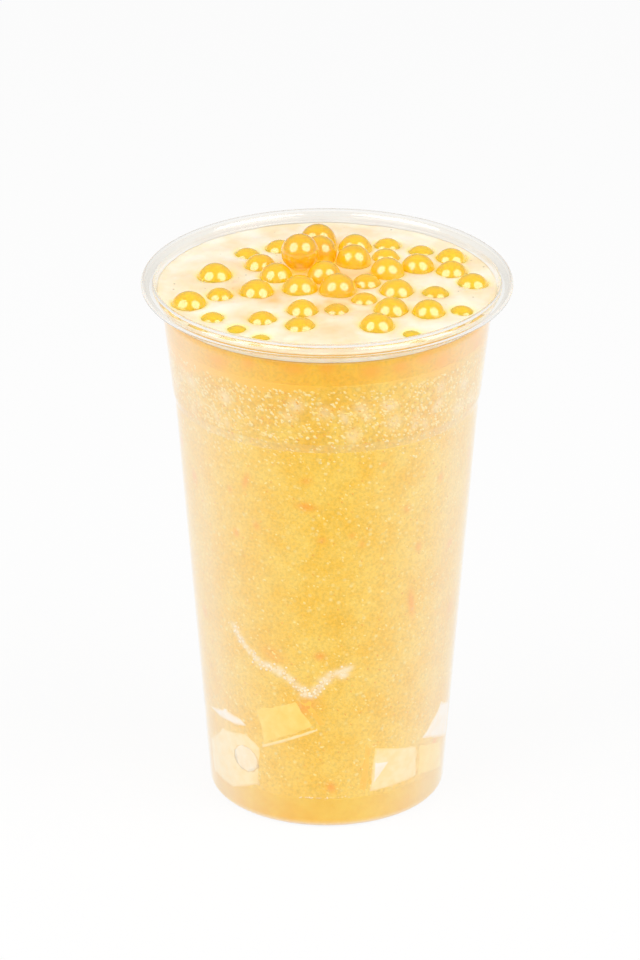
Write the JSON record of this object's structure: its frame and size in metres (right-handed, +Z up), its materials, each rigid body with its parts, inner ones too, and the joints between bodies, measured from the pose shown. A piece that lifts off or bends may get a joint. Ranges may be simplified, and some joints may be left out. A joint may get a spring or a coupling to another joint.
{
  "type": "fruit refresher in a clear cup",
  "caption": "Clear tapered cold-drink cup with a rolled rim, filled to the brim with yellow fruit slush over ice and topped with foam and amber juice pearls.",
  "frame": {"origin": "middle of the foot, on the surface that the cup stands on", "axes": "+Z up along the cup's axis; +X to the right and +Y away as the drink is seen from its front"},
  "size_m": [0.09, 0.09, 0.1418],
  "materials": {
    "clear_cup": "clear moulded polypropylene, glossy, faintly hazy",
    "clear_juice": "clear orange-yellow fruit juice, wet",
    "slush": "fine-grained fruit slush, translucent",
    "crushed_ice": "coarser crushed ice in juice, translucent with pale flecks",
    "pearl_band": "juice thick with sunken pearls, wet",
    "foam": "pale cream foam with fine bubbles",
    "pearl": "amber juice pearl, wet and glossy, translucent"
  },
  "bodies": {
    "root": {"cup": "clear_cup", "settled_juice": "clear_juice", "slush": "slush", "crushed_ice": "crushed_ice", "pearl_band": "pearl_band", "foam": "foam", "pearl_01": "pearl", "pearl_02": "pearl", "pearl_03": "pearl", "pearl_04": "pearl", "pearl_05": "pearl", "pearl_06": "pearl", "pearl_07": "pearl", "pearl_08": "pearl", "pearl_09": "pearl", "pearl_10": "pearl", "pearl_11": "pearl", "pearl_12": "pearl", "pearl_13": "pearl", "pearl_14": "pearl", "pearl_15": "pearl", "pearl_16": "pearl", "pearl_17": "pearl", "pearl_18": "pearl", "pearl_19": "pearl", "pearl_20": "pearl", "pearl_21": "pearl", "pearl_22": "pearl", "pearl_23": "pearl", "pearl_24": "pearl", "pearl_25": "pearl", "pearl_26": "pearl", "pearl_27": "pearl", "pearl_28": "pearl", "pearl_29": "pearl", "pearl_30": "pearl", "pearl_31": "pearl", "pearl_32": "pearl", "pearl_33": "pearl", "pearl_34": "pearl", "pearl_35": "pearl", "pearl_36": "pearl", "pearl_37": "pearl", "pearl_38": "pearl", "pearl_39": "pearl", "pearl_40": "pearl"}
  },
  "joints": []
}
